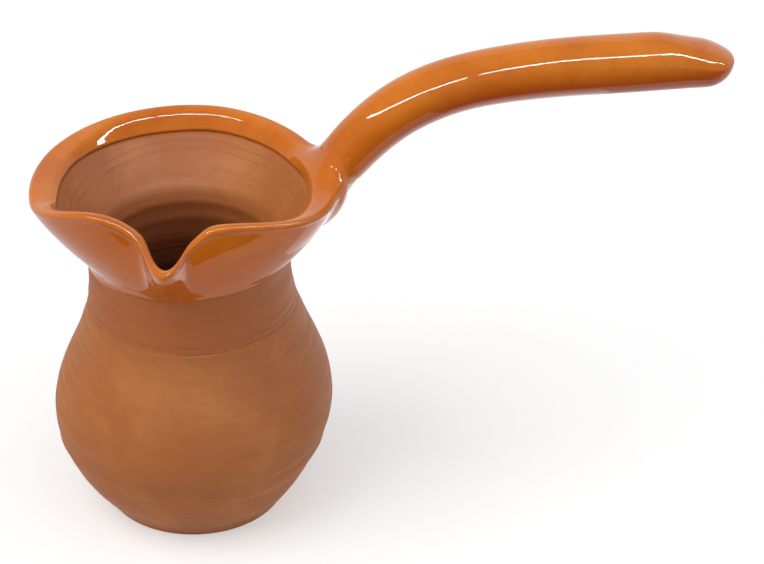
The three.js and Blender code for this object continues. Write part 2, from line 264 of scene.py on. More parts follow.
# Fall of the flange at a distance in from the lip's crest: a slight even fall, and past the
# level part a soft ramp down to the inner edge
def flangeFall(angle, inward, width, fall):
    soft = lipSizes["bend"] + lipSizes["bendByWidth"] * width
    start = lipLevel(angle) * width
    foot = softRamp(-start, soft)
    ramp = (softRamp(inward - start, soft) - foot) / (softRamp(width - start, soft) - foot)
    level = lipSizes["levelFall"] * width
    return level * inward / width + (fall - level) * ramp


# Section under the glaze, from the lower edge up the collar, over the lip and down inside.
# Each stretch is a share from 0 to 1: straight heights on the collar, an arc of a circle on
# the lip, the flange's fall, and straight heights inside.
def glazedSection(angle, collarRows, lipRows, flangeRows, insideRows, crowd):
    centreRadius, centreHeight = lipCentre(angle)
    edgeRadius, edgeHeight = lipInnerEdge(angle)
    lipStart = math.radians(pot["lipStart"])
    low = glazeFoot(angle)
    high = centreHeight + pot["lipRound"] * math.sin(lipStart)
    share = np.linspace(0, 1, collarRows, endpoint=False)[:, None] ** crowd
    collarHeight = low + (high - low) * share
    collarRadius = outerRadius(angle, collarHeight)
    a = np.linspace(lipStart, math.pi / 2, lipRows)[:, None]
    roundRadius = centreRadius + pot["lipRound"] * np.cos(a)
    roundHeight = centreHeight + pot["lipRound"] * np.sin(a)
    crest = centreHeight + pot["lipRound"]
    width = centreRadius - edgeRadius
    inward = width * np.linspace(0, 1, flangeRows + 1)[1:, None]
    flangeRadius = centreRadius - inward
    flangeHeight = crest - flangeFall(angle, inward, width, crest - edgeHeight)
    end = edgeHeight - glazeSizes["inside"]
    for depth, waves, start in glazeSizes["insideWaves"]:
        end = end - depth * np.cos(waves * np.radians(angle) + start)
    share = np.linspace(0, 1, insideRows + 1)[1:, None]
    insideHeight = edgeHeight + (end - edgeHeight) * share
    insideRadius = innerRadius(angle, insideHeight)
    radius = np.concatenate([collarRadius, roundRadius, flangeRadius, insideRadius])
    height = np.concatenate([collarHeight, roundHeight, flangeHeight, insideHeight])
    return radius, height


# Quads between the rows of a grid that closes round its columns. loop joins the last row to
# the first; a pole is a fan to the mean of the first or last row.
def gridMesh(name, points, loop=False, firstPole=False, lastPole=False):
    rows, columns = points.shape[:2]
    vertices = points.reshape(-1, 3)
    rowIndex = np.arange(rows if loop else rows - 1)[:, None]
    columnIndex = np.arange(columns)[None, :]
    nextRow = (rowIndex + 1) % rows
    nextColumn = (columnIndex + 1) % columns
    quads = np.stack([
        rowIndex * columns + columnIndex, rowIndex * columns + nextColumn,
        nextRow * columns + nextColumn, nextRow * columns + columnIndex,
    ], -1).reshape(-1, 4)
    fans = []
    ring = np.arange(columns)
    for wanted, row, outward in ((firstPole, 0, False), (lastPole, rows - 1, True)):
        if not wanted:
            continue
        pole = len(vertices)
        vertices = np.vstack([vertices, points[row].mean(0)])
        a, b = row * columns + ring, row * columns + (ring + 1) % columns
        first, second = (a, b) if outward else (b, a)
        fans.append(np.stack([first, second, np.full(columns, pole)], -1))
    mesh = bpy.data.meshes.new(name)
    corners = np.concatenate([quads.ravel()] + [fan.ravel() for fan in fans])
    sizes = np.concatenate([np.full(len(quads), 4)] + [np.full(len(fan), 3) for fan in fans])
    mesh.vertices.add(len(vertices))
    mesh.vertices.foreach_set("co", (vertices * mm).astype(np.float32).ravel())
    mesh.loops.add(len(corners))
    mesh.loops.foreach_set("vertex_index", corners.astype(np.int32))
    mesh.polygons.add(len(sizes))
    mesh.polygons.foreach_set("loop_start", (np.cumsum(sizes) - sizes).astype(np.int32))
    mesh.polygons.foreach_set("use_smooth", np.ones(len(sizes), bool))
    mesh.update(calc_edges=True)
    mesh.validate()
    return mesh


def addPiece(name, mesh, material, slotName, *nodes):
    piece = bpy.data.objects.new(name, mesh)
    bpy.context.scene.collection.objects.link(piece)
    mesh.materials.append(material)
    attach(piece, "root")
    if nodes:
        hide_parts(*nodes)
    print(f"{name}: {len(mesh.vertices)} points, {len(mesh.polygons)} faces")


def addPointValue(mesh, name, values):
    attribute = mesh.attributes.new(name, "FLOAT", "POINT")
    attribute.data.foreach_set("value", values.astype(np.float32))


# How far the face of the glaze stands over the clay at a distance from its edge: a quarter
# round from just under the clay, with a bell of thicker glaze behind it
def glazeStand(fromEdge):
    g = glazeSizes
    t = np.clip(1 - fromEdge / g["edgeRound"], 0, 1)
    bead = g["bead"] * np.exp(-(((fromEdge - g["beadAt"]) / g["beadHalf"]) ** 2))
    return -g["edgeSink"] + (g["stand"] + g["edgeSink"]) * np.sqrt(1 - t * t) + bead


# Slow ripple of the glaze, a sum of waves round the pot and up its section
def glazeRipple(angle, along):
    turn = np.radians(angle)
    wave = np.cos(7 * turn + 0.31 * along) + np.cos(11 * turn - 0.23 * along + 1.7)
    wave = wave + np.cos(4 * turn + 0.52 * along + 4.1) + 0.6 * np.cos(19 * turn + 0.4 * along)
    return glazeSizes["ripple"] * wave / 2


# Thrown pot in one closed skin, in rows from the middle of the base to the middle of the
# floor: a base hollowed by a cubic, a quarter round at the foot, the outside curve with its
# marks, the section under the glaze sunk by a step, the inside curve with its marks, a
# quarter round fillet, and a floor with rings by a cosine
def makeClayBody(material):
    angle = np.linspace(-180, 180, pot["columns"], endpoint=False)[None, :]
    flat = 0 * angle
    baseEdge = float(bodyRadius(pot["footEdge"])) - pot["footEdge"]
    share = np.linspace(0.03, 1, pot["baseRows"], endpoint=False)[:, None]
    baseRadius = baseEdge * share + flat
    baseHeight = pot["footHollow"] * (1 - share ** 3) * (0.9 + 0.1 * np.cos(9 * share)) + flat
    a = np.linspace(-math.pi / 2, 0, pot["footRows"], endpoint=False)[:, None]
    footRadius = baseEdge + pot["footEdge"] * np.cos(a) + flat
    footHeight = pot["footEdge"] * (1 + np.sin(a)) + flat
    share = np.linspace(0, 1, pot["outsideRows"], endpoint=False)[:, None]
    outsideHeight = pot["footEdge"] + (glazeFoot(angle) - pot["footEdge"]) * share
    outsideRadius = outerRadius(angle, outsideHeight)
    outsideRadius = outsideRadius + markRelief(outsideMarks, angle, outsideHeight)
    glazedRadius, glazedHeight = glazedSection(angle, *pot["glazedRows"], pot["crowd"])
    sink = np.full((len(glazedRadius), 1), pot["clayUnderGlaze"])
    sink[[0, -1]] = 0
    sink[[1, -2]] *= 0.6  # eased in over two rows at either end
    glazedRadius, glazedHeight = offsetSection(glazedRadius, glazedHeight, sink)[:2]
    filletTop = pot["floor"] + pot["fillet"]
    top = glazedHeight[-1:]
    share = np.linspace(0, 1, pot["insideRows"] + 1)[1:, None]
    insideHeight = top + (filletTop - top) * share
    insideRadius = innerRadius(angle, insideHeight)
    insideRadius = insideRadius - markRelief(insideMarks, angle, insideHeight)
    a = np.linspace(0, math.pi / 2, pot["filletRows"] + 1)[1:, None]
    floorRadius = innerRadius(angle, filletTop) - pot["fillet"]
    filletRadius = floorRadius + pot["fillet"] * np.cos(a)
    filletHeight = filletTop - pot["fillet"] * np.sin(a) + flat
    share = np.linspace(1, 0.02, pot["floorRows"] + 1)[1:, None]
    rings = 1 - np.cos(pot["floorRings"] * math.pi * (1 - share))
    floorHeight = pot["floor"] + pot["floorRipple"] * rings * share + flat
    radius = np.concatenate([
        baseRadius, footRadius, outsideRadius, glazedRadius, insideRadius, filletRadius,
        floorRadius * share,
    ])
    height = np.concatenate([
        baseHeight, footHeight, outsideHeight, glazedHeight, insideHeight, filletHeight,
        floorHeight,
    ])
    points = aroundPot(angle, radius, height)
    mesh = gridMesh("clayBody", points, firstPole=True, lastPole=True)
    outsideRows = len(baseRadius) + len(footRadius) + len(outsideRadius) + len(glazedRadius)
    inside = np.repeat(np.arange(len(radius)) >= outsideRows, pot["columns"])
    addPointValue(mesh, "inside", np.concatenate([inside, [0, 1]]))
    addPiece("clayBody", mesh, material, claySlot, "thrown_pot")


handleSizes = {
    "root": (46.2, 105.7), "elbow": (69.8, 132.7), "crown": (93.7, 126.7), "end": (162.8, 120.6),
    "rootRadius": 6.6, "endRadius": 8.55, "swell": 0.42, "rootEnd": 39.6, "rootEndRound": 3,
    "bevelLength": 21.8, "bevelSoft": 0.12, "tipTop": 2.3, "tipUnder": 8, "tipRound": 8.5,
    "tipEnd": 0.32,
    "swellFrom": -2, "carriedOn": 15, "before": 8, "rootPart": 26, "rootReach": (-14, 46),
    "blendOver": 5.0, "blendUnder": 1.8, "underlap": 0.1, "farUnderlap": 0.8, "overlapWidth": 1.6,
    "wobble": 0.0045, "wobbleGrow": 20, "cap": 0.12, "capRows": (0.93, 0.8, 0.6, 0.35, 0.12),
    "sides": 112, "rootStep": 0.5, "bodyStep": 0.8, "tipPart": 6, "tipRows": 15,
}
wadSizes = {
    "middle": (39.0, 97.2), "depth": 6.2, "width": 13.1, "height": 10.2, "tilt": 35, "blend": 5,
}
handle, wad = handleSizes, wadSizes
blendSteps, blendStride = 60, 0.9  # how often and how far a point is moved to the blend


# Middle line of the handle in the upright plane of +X: a cubic Bezier curve from root to
# end, carried on straight before its root, and read by the length along it
def handleLine():
    t = np.linspace(0, 1, 4001)[:, None]
    root, elbow, crown, end = (np.array(handle[k]) for k in ("root", "elbow", "crown", "end"))
    curve = (1 - t) ** 3 * root + 3 * (1 - t) ** 2 * t * elbow
    curve = curve + 3 * (1 - t) * t * t * crown + t ** 3 * end
    first = (elbow - root) / np.linalg.norm(elbow - root)
    before = root + np.linspace(-handle["carriedOn"], 0, 61)[:-1, None] * first
    line = np.vstack([before, curve])
    steps = np.linalg.norm(np.diff(line, axis=0), axis=1)
    length = np.concatenate([[0], np.cumsum(steps)]) - handle["carriedOn"]
    along = np.gradient(line, axis=0)
    along /= np.linalg.norm(along, axis=1)[:, None]
    return length, line, along


lineLength, linePoints, lineAlong = handleLine()
handleLength = lineLength[-1]


# Place and direction of the middle line at a length along it from the root
def lineAt(s):
    place = [np.interp(s, lineLength, linePoints[:, k]) for k in (0, 1)]
    along = [np.interp(s, lineLength, lineAlong[:, k]) for k in (0, 1)]
    return np.stack(place, -1), np.stack(along, -1)


# Radius of the glazed rod: from root to end by a power of the share of the length
def rodRadius(s):
    start = handle["swellFrom"]
    share = np.clip((s - start) / (handleLength - start), 0, 1) ** handle["swell"]
    grow = handle["endRadius"] - handle["rootRadius"]
    return handle["rootRadius"] + grow * share + glazeSizes["stand"]


rootStations = np.arange(*handle["rootReach"], handle["rootStep"])
rootPlaces, rootAlong = lineAt(rootStations)


# Distance of points to the rod near its root: to its middle line less its radius, cut off
# behind the root with a rounded corner; and how far up on the rod each point lies
def rodDistance(points):
    flat = points[..., [0, 2]]
    away = ((flat[..., None, :] - rootPlaces) ** 2).sum(-1)
    i = away.argmin(-1)
    d = flat - rootPlaces[i]
    along = rootAlong[i]
    s = rootStations[i] + (d * along).sum(-1)
    up = d[..., 1] * along[..., 0] - d[..., 0] * along[..., 1]
    radius = rodRadius(s)
    rod = np.hypot(up, points[..., 1]) - radius
    return -softMin(-rod, points[..., 0] - handle["rootEnd"], handle["rootEndRound"]), up / radius


# Distance of points to the wad, an egg with three different half axes: the length of the
# point in half axes, times that less one, over the length in half axes squared
def wadDistance(points):
    tilt = math.radians(wad["tilt"])
    dx, dz = points[..., 0] - wad["middle"][0], points[..., 2] - wad["middle"][1]
    axes = np.array([wad["depth"], wad["width"], wad["height"]])
    local = np.stack([
        dx * math.cos(tilt) - dz * math.sin(tilt), points[..., 1],
        dx * math.sin(tilt) + dz * math.cos(tilt),
    ], -1) / axes
    once = np.linalg.norm(local, axis=-1)
    return once * (once - 1) / np.maximum(np.linalg.norm(local / axes, axis=-1), 1e-6)


# Collar, wad and rod run together: the softened least of the three distances. Returns that,
# and how much nearer the collar is than the rod.
def rootDistance(points, collar):
    rod, up = rodDistance(points)
    body = softMin(collar, wadDistance(points), wad["blend"])
    under, over = handle["blendUnder"], handle["blendOver"]
    k = under + (over - under) * smoothStep(up, -0.5, 0.5)
    return softMin(body, rod, k), rod - body


# Face of the collar's glaze: the section offset along its normals by the glaze's stand and
# ripple. It is kept with the section, its normals and the distances from its edges.
def collarFace(g):
    angle = np.linspace(-180, 180, g["columns"], endpoint=False)[None, :]
    radius, height = glazedSection(angle, *g["rows"], g["crowd"])
    step = np.hypot(np.diff(radius, axis=0), np.diff(height, axis=0))
    along = np.concatenate([0 * angle, np.cumsum(step, axis=0)])
    fromInside = along[-1:] - along
    fromEdge = np.minimum(along, fromInside)
    ripple = glazeRipple(angle, along) * smoothStep(fromEdge, g["rippleFrom"], g["rippleFull"])
    face = offsetSection(radius, height, glazeStand(fromEdge) + ripple)
    return {
        "angle": angle, "radius": radius, "height": height, "faceRadius": face[0],
        "faceHeight": face[1], "normalR": face[2], "normalZ": face[3], "fromEdge": fromEdge,
        "fromInside": fromInside,
    }


collar = collarFace(glazeSizes)


# Distance of points to the face of the collar in the section at their own angle: to the
# nearest piece of the outline, below zero inside it
def collarDistance(points):
    angle, faceRadius, faceHeight = collar["angle"][0], collar["faceRadius"], collar["faceHeight"]
    turn = np.degrees(np.arctan2(points[..., 1], points[..., 0])) - pot["spoutAngle"]
    place = ((turn + 180) % 360) / (angle[1] - angle[0])
    i = np.floor(place).astype(int) % len(angle)
    share = (place - np.floor(place))[..., None]
    nextOne = (i + 1) % len(angle)
    outlineR = faceRadius.T[i] * (1 - share) + faceRadius.T[nextOne] * share
    outlineZ = faceHeight.T[i] * (1 - share) + faceHeight.T[nextOne] * share
    radius = np.hypot(points[..., 0], points[..., 1])[..., None]
    height = points[..., 2][..., None]
    nearest = ((outlineR - radius) ** 2 + (outlineZ - height) ** 2).argmin(-1)
    best, sign = np.inf, 0
    for shift in (-1, 0):
        j = np.clip(nearest + shift, 0, outlineR.shape[-1] - 2)[..., None]
        r0, z0 = np.take_along_axis(outlineR, j, -1), np.take_along_axis(outlineZ, j, -1)
        dr = np.take_along_axis(outlineR, j + 1, -1) - r0
        dz = np.take_along_axis(outlineZ, j + 1, -1) - z0
        t = np.clip(((radius - r0) * dr + (height - z0) * dz) / (dr * dr + dz * dz + 1e-12), 0, 1)
        away = np.hypot(radius - r0 - t * dr, height - z0 - t * dz)[..., 0]
        side = ((radius - r0) * dz - (height - z0) * dr)[..., 0]
        nearer = away < best
        sign = np.where(nearer, np.sign(side), sign)
        best = np.where(nearer, away, best)
    return best * sign


# Coat of glaze on the collar: its face, lifted along its normals to where collar, wad and
# rod run together, and a back face inside the clay's step. The face dips under the handle's
# glaze by a hair where that takes over.
def makeCollarGlaze(material):
    g, angle = glazeSizes, collar["angle"]
    near = np.abs((angle[0] - joinAngle + 180) % 360 - 180) < join["reach"]
    nearAngle = angle[:, near]
    radius, height, normalR, normalZ = (
        collar[key][:, near] for key in ("faceRadius", "faceHeight", "normalR", "normalZ")
    )
    lift = np.zeros(radius.shape)
    for step in range(blendSteps):
        points = aroundPot(nearAngle, radius + normalR * lift, height + normalZ * lift)
        distance, lead = rootDistance(points, lift)
        lift = np.clip(lift - blendStride * distance, 0, g["liftMost"])
    lift = lift - handle["underlap"] * smoothStep(-lead, 0, handle["overlapWidth"])
    lift = lift * smoothStep(collar["fromInside"][:, near], g["liftFrom"], g["liftFull"])
    faceRadius, faceHeight = collar["faceRadius"].copy(), collar["faceHeight"].copy()
    faceRadius[:, near] = radius + normalR * lift
    faceHeight[:, near] = height + normalZ * lift
    rows = np.linspace(0, len(faceRadius) - 1, g["backRows"]).round().astype(int)
    backRadius, backHeight = offsetSection(
        collar["radius"][rows], collar["height"][rows], -g["backDepth"]
    )[:2]
    points = aroundPot(
        angle, np.concatenate([faceRadius, backRadius[-2:0:-1]]),
        np.concatenate([faceHeight, backHeight[-2:0:-1]]),
    )
    mesh = gridMesh("collarGlaze", points, loop=True)
    edge = np.zeros(points.shape[:2])
    edge[:len(faceRadius)] = collar["fromEdge"]
    addPointValue(mesh, "fromEdge", edge.ravel())
    addPiece("collarGlaze", mesh, material, glazeSlot, "rim_glaze")


# The handle's skin at a depth under its face. Near the root the points of each ring lie on
# rays from the middle line, where collar, wad and rod run together; further on a ring is
# half an ellipse above and half one below, bevelled by a soft ramp towards the tip, drawn in
# there by the root of one less the square of the way into the tip, and uneven by a sum of
# sines. Small rings on a parabola close the end.
def handleSkin(depth):
    a = np.linspace(0, 2 * math.pi, handle["sides"], endpoint=False)[None, :]
    s = np.arange(-handle["before"], handle["rootPart"], handle["rootStep"])[:, None]
    place, along = lineAt(s)
    reach = np.full((len(s), handle["sides"]), 2.0)
    limit = rodRadius(s) + 5

    def at(reach):
        up = reach * np.sin(a)
        x = place[..., 0] - along[..., 1] * up
        z = place[..., 1] + along[..., 0] * up
        return np.stack([x, reach * np.cos(a), z], -1)

    for step in range(blendSteps):
        points = at(reach)
        distance, lead = rootDistance(points, collarDistance(points))
        reach = np.clip(reach - blendStride * distance, 0.5, limit)
    overlap = handle["overlapWidth"]
    reach = reach - handle["underlap"] * smoothStep(lead, 0, overlap)
    reach = reach - handle["farUnderlap"] * smoothStep(lead, overlap, 3 * overlap)
    rootPoints = at(np.maximum(reach - depth, 0.3))
    tipStart = handleLength - handle["tipPart"]
    body = np.arange(handle["rootPart"], tipStart, handle["bodyStep"])
    tip = tipStart + handle["tipPart"] * np.sin(np.linspace(0, math.pi / 2, handle["tipRows"]))
    s = np.concatenate([body, tip])[:, None]
    place, along = lineAt(s)
    fromEnd = handleLength - s
    into = 1 - fromEnd / handle["bevelLength"]
    bevel = softRamp(into, handle["bevelSoft"]) / softRamp(1, handle["bevelSoft"])
    into = np.clip(1 - fromEnd / handle["tipRound"], 0, 1)
    dome = np.sqrt(1 - (1 - handle["tipEnd"] ** 2) * into ** 2)
    rod = rodRadius(s) - glazeSizes["stand"]
    top = rod + (handle["tipTop"] - rod) * bevel
    under = rod + (handle["tipUnder"] - rod) * bevel
    grow = glazeSizes["stand"] - depth
    fade = smoothStep(s, handle["rootPart"], handle["rootPart"] + handle["wobbleGrow"])
    wave = np.sin(s / 9.7) + np.sin(s / 5.9 + 1 + a) + np.sin(s / 13 + 2 * a) - 2.4
    wobble = 1 + handle["wobble"] * fade * smoothStep(fromEnd, 2, 14) * wave
    half = np.where(np.sin(a) > 0, top, under)
    up = (half * dome + grow) * np.sin(a) * wobble
    side = (rod * dome + grow) * np.cos(a) * wobble
    x = place[..., 0] - along[..., 1] * up + along[..., 0] * grow * bevel
    z = place[..., 1] + along[..., 0] * up + along[..., 1] * grow * bevel
    rest = np.stack([x, side, z], -1)
    last = rest[-1]
    middle = last.mean(0)
    share = np.array(handle["capRows"])[:, None, None]
    crown = handle["cap"] * (1 - share ** 2) * np.array([along[-1, 0, 0], 0, along[-1, 0, 1]])
    cap = middle + (last - middle) * share + crown
    return np.concatenate([rootPoints, rest, cap])


# Coat of glaze on the handle and the wad: the skin, and the same skin deeper in as its back
def makeHandleGlaze(material):
    face, back = handleSkin(0), handleSkin(glazeSizes["handleBackDepth"])
    mesh = gridMesh(
        "handleGlaze", np.concatenate([back[::-1], face]), firstPole=True, lastPole=True
    )
    middle = 9.0  # no edge of this glaze shows
    edge = np.concatenate([np.zeros(back.shape[:2]), np.full(face.shape[:2], middle)]).ravel()
    addPointValue(mesh, "fromEdge", np.concatenate([edge, [0, middle]]))
    addPiece("handleGlaze", mesh, material, glazeSlot, "handle_glaze")


# Adds a shader node: fields are its own settings, inputs are numbers or other nodes' outputs
def addNode(tree, kind, fields={}, inputs={}):
    made = tree.nodes.new(kind)
    for key, value in fields.items():
        setattr(made, key, value)
    for key, value in inputs.items():
        if isinstance(value, bpy.types.NodeSocket):
            tree.links.new(value, made.inputs[key])
        else:
            made.inputs[key].default_value = value
    return made


def noiseOf(tree, place, scale, detail=3, roughness=0.55, distortion=0):
    return addNode(tree, "ShaderNodeTexNoise", {}, {
        "Vector": place, "Scale": scale, "Detail": detail, "Roughness": roughness,
        "Distortion": distortion,
    }).outputs["Fac"]


def stretched(tree, place, scale, turn=(0, 0, 0)):
    inputs = {"Vector": place, "Scale": scale, "Rotation": turn}
    return addNode(tree, "ShaderNodeMapping", {}, inputs).outputs["Vector"]


def rangeOf(tree, value, low, high, toLow=0, toHigh=1):
    inputs = {
        "Value": value, "From Min": low, "From Max": high, "To Min": toLow, "To Max": toHigh,
    }
    fields = {"interpolation_type": "SMOOTHSTEP"}
    return addNode(tree, "ShaderNodeMapRange", fields, inputs).outputs["Result"]


def mathOf(tree, operation, a, b):
    return addNode(tree, "ShaderNodeMath", {"operation": operation}, {0: a, 1: b}).outputs[0]


# An output shared out evenly about zero: times the spread, less half of it
def aboutZero(tree, value, spread):
    inputs = {0: value, 1: spread, 2: -spread / 2}
    return addNode(tree, "ShaderNodeMath", {"operation": "MULTIPLY_ADD"}, inputs).outputs[0]


def newMaterial(name):
    material = bpy.data.materials.new(name)
    material.use_nodes = True
    return material, material.node_tree


# Blend of two colours by a share; a and b are outputs or (red, green, blue)
def mixOf(tree, share, a, b, way="MIX"):
    a = a if isinstance(a, bpy.types.NodeSocket) else (*a, 1)
    b = b if isinstance(b, bpy.types.NodeSocket) else (*b, 1)
    fields = {"data_type": "RGBA", "blend_type": way, "clamp_factor": True}
    return addNode(tree, "ShaderNodeMix", fields, {0: share, 6: a, 7: b}).outputs[2]


# One bump on another: height in millimetres times the depth
def bumpOf(tree, height, depth, under=None):
    inputs = {"Height": height, "Distance": depth * mm, "Strength": 1.0}
    if under is not None:
        inputs["Normal"] = under
    return addNode(tree, "ShaderNodeBump", {}, inputs).outputs["Normal"]


clayFinish = {
    "dark": (0.42, 0.13, 0.034), "body": (0.50, 0.17, 0.044), "pale": (0.57, 0.215, 0.064),
    "smoke": (0.31, 0.09, 0.026), "lime": (0.66, 0.36, 0.17), "grit": (0.2, 0.06, 0.02),
    # the dark colour for deep inside the pot is painted shade
    "neck": (0.42, 0.115, 0.03), "wellShade": (0.17, 0.04, 0.01),
    "roughness": (0.5, 0.68), "grainDepth": 0.03, "streakDepth": 0.03, "gritDepth": 0.05,
    "wireDepth": 0.22, "lineDepth": 0.12,
    # heights in metres
    "bandFrom": (0.019, 0.0245), "bandTo": (0.025, 0.034), "footTop": 0.016,
    # the neck's tone from these heights is partly painted shade under the collar's overhang
    "neckFrom": (0.064, 0.0688), "wellShadeTop": (0.066, 0.086),
    "lines": (0.0664, 0.0683, 0.0953, 0.0972), "lineHalf": 0.00042,
}


# Bare red clay off the wheel: slow change of tone from the kiln, level streaks that the
# sponge dragged round, fine grain, grit and pinholes, and wire lines under the foot
def makeBareClay():
    f = clayFinish
    material, tree = newMaterial("bareClay")
    shader = tree.nodes["Principled BSDF"]
    place = addNode(tree, "ShaderNodeTexCoord").outputs["Object"]
    height = addNode(tree, "ShaderNodeSeparateXYZ", {}, {0: place}).outputs["Z"]
    cloud = noiseOf(tree, place, 34, 4, 0.6, 0.4)
    level = stretched(tree, place, (0.5, 0.5, 11))
    streak = noiseOf(tree, level, 60, 5, 0.6, 0.15)
    fineStreak = noiseOf(tree, stretched(tree, place, (0.35, 0.35, 26)), 95, 4, 0.55, 0.1)
    grain = noiseOf(tree, place, 2100, 5, 0.7)
    mottle = noiseOf(tree, place, 330, 4, 0.6, 0.3)

    tone = mixOf(tree, rangeOf(tree, cloud, 0.3, 0.72), f["dark"], f["body"])
    tone = mixOf(tree, rangeOf(tree, cloud, 0.5, 0.85), tone, f["pale"])
    tone = mixOf(tree, rangeOf(tree, streak, 0.38, 0.66, 0.18, 0), tone, f["dark"])
    tone = mixOf(tree, rangeOf(tree, streak, 0.56, 0.78, 0, 0.16), tone, f["pale"])
    tone = mixOf(tree, rangeOf(tree, fineStreak, 0.35, 0.5, 0.08, 0), tone, f["dark"])
    tone = mixOf(tree, rangeOf(tree, fineStreak, 0.55, 0.72, 0, 0.07), tone, f["pale"])
    tone = mixOf(tree, rangeOf(tree, mottle, 0.5, 0.75, 0, 0.18), tone, f["dark"])
    tone = mixOf(tree, rangeOf(tree, grain, 0.42, 0.6, 0.1, 0), tone, f["smoke"])
    tone = mixOf(tree, rangeOf(tree, grain, 0.56, 0.72, 0, 0.1), tone, f["pale"])

    dots = addNode(tree, "ShaderNodeTexVoronoi", {}, {"Vector": place, "Scale": 620})
    dotSize = addNode(tree, "ShaderNodeSeparateColor", {}, {0: dots.outputs["Color"]})
    keep = rangeOf(tree, dotSize.outputs[0], 0.86, 0.9)
    away = dots.outputs["Distance"]
    grit = mathOf(tree, "MULTIPLY", rangeOf(tree, away, 0.1, 0.2, 1, 0), keep)
    keep = rangeOf(tree, dotSize.outputs[1], 0.93, 0.95)
    lime = mathOf(tree, "MULTIPLY", rangeOf(tree, away, 0.08, 0.16, 1, 0), keep)
    tone = mixOf(tree, mathOf(tree, "MULTIPLY", grit, 0.4), tone, f["grit"])
    tone = mixOf(tree, mathOf(tree, "MULTIPLY", lime, 0.35), tone, f["lime"])

    # the foot paler towards the ground, and a darker band over it
    lifted = mathOf(tree, "ADD", height, aboutZero(tree, noiseOf(tree, place, 22, 2), 0.012))
    band = mathOf(
        tree, "MULTIPLY", rangeOf(tree, lifted, *f["bandFrom"]),
        rangeOf(tree, lifted, *f["bandTo"], 1, 0),
    )
    tone = mixOf(tree, mathOf(tree, "MULTIPLY", band, 0.2), tone, f["smoke"])
    foot = rangeOf(tree, lifted, 0.0, f["footTop"], 0.3, 0)
    tone = mixOf(tree, foot, tone, f["pale"])

    # the neck darker and redder, partly the clay's tone and partly painted shade under the
    # collar, and painted shade inside
    inside = addNode(tree, "ShaderNodeAttribute", {"attribute_name": "inside"}).outputs["Fac"]
    neck = mathOf(
        tree, "MULTIPLY", rangeOf(tree, height, *f["neckFrom"], 0, 0.55),
        rangeOf(tree, inside, 0.2, 0.8, 1, 0),
    )
    tone = mixOf(tree, neck, tone, f["neck"])
    # painted shade: the inside turns darker the deeper it lies below the mouth
    wellShade = mathOf(tree, "MULTIPLY", inside, rangeOf(tree, lifted, *f["wellShadeTop"], 0.8, 0))
    tone = mixOf(tree, wellShade, tone, f["wellShade"])

    # thin lines the rib scratched round the shoulder and inside the mouth, broken in places; a
    # bump cuts them and painted shade darkens them
    swayed = mathOf(tree, "ADD", height, aboutZero(tree, noiseOf(tree, place, 30, 2), 0.0024))
    lines = 0.0
    for level in f["lines"]:
        away = mathOf(tree, "ABSOLUTE", mathOf(tree, "SUBTRACT", swayed, level), 0.0)
        line = rangeOf(tree, away, 0.0, f["lineHalf"], 1, 0)
        lines = mathOf(tree, "ADD", line, lines)
    broken = rangeOf(tree, noiseOf(tree, place, 70, 2), 0.36, 0.54)
    lines = mathOf(tree, "MULTIPLY", lines, broken)
    lines = mathOf(tree, "MULTIPLY", lines, rangeOf(tree, inside, 0, 1, 1, 0.4))
    tone = mixOf(tree, mathOf(tree, "MULTIPLY", lines, 0.6), tone, f["smoke"])
    tree.links.new(tone, shader.inputs["Base Color"])

    roughness = rangeOf(tree, streak, 0.3, 0.7, f["roughness"][1], f["roughness"][0])
    tree.links.new(roughness, shader.inputs["Roughness"])
    shader.inputs["Specular IOR Level"].default_value = 0.25

    wire = addNode(tree, "ShaderNodeTexWave", {"wave_type": "RINGS", "rings_direction": "Z"}, {
        "Vector": stretched(tree, place, (1, 1.35, 1)), "Scale": 190, "Distortion": 2.2,
        "Detail": 3, "Detail Scale": 1.2,
    }).outputs["Fac"]
    under = mathOf(tree, "MULTIPLY", wire, rangeOf(tree, height, 0.0004, 0.0009, 1, 0))
    normal = bumpOf(tree, under, f["wireDepth"])
    normal = bumpOf(tree, streak, f["streakDepth"] * 3, normal)
    normal = bumpOf(tree, fineStreak, f["streakDepth"], normal)
    normal = bumpOf(tree, grain, f["grainDepth"], normal)
    normal = bumpOf(tree, mathOf(tree, "MULTIPLY", lines, -1.0), f["lineDepth"], normal)
    normal = bumpOf(tree, mathOf(tree, "SUBTRACT", lime, grit), f["gritDepth"], normal)
    tree.links.new(normal, shader.inputs["Normal"])
    return material


glazeFinish = {
    "honey": (0.69, 0.185, 0.0125), "deep": (0.52, 0.105, 0.006), "bright": (0.78, 0.25, 0.02),
    # under is painted shade, the colour that faces turn to as they look down
    "edge": (0.42, 0.105, 0.015), "under": (0.41, 0.052, 0.002), "handleFrom": (0.046, 0.075),
    "roughness": (0.025, 0.05), "rippleDepth": 0.02, "peelDepth": 0.006, "pinholeDepth": 0.1,
}
